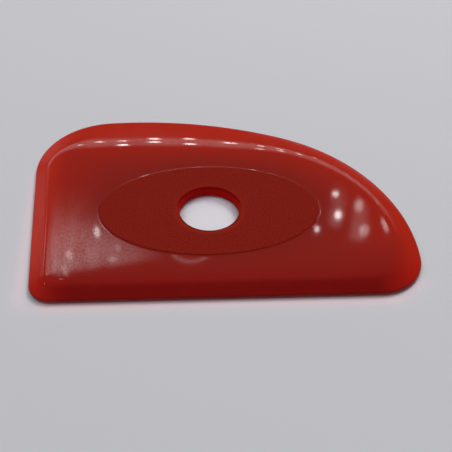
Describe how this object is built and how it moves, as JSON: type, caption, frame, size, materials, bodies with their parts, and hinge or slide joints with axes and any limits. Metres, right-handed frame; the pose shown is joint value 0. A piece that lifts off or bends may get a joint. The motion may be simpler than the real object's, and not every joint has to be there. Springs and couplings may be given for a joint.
{
  "type": "pottery rib",
  "caption": "Flexible red polymer pottery rib: flat blade with a straight edge, a long curved edge, bevelled faces, a thin rounded rim, a raised oval panel on each face and a finger hole.",
  "frame": {"origin": "centre of the finger hole at mid-thickness", "axes": "+X along the straight edge towards the rounded nose, +Y from the straight edge towards the curved edge, +Z out of the upper face along the finger hole"},
  "size_m": [0.1286, 0.0887, 0.004],
  "materials": {
    "red_polymer": "gloss"
  },
  "bodies": {
    "root": {"rib_body": "red_polymer"}
  },
  "joints": []
}
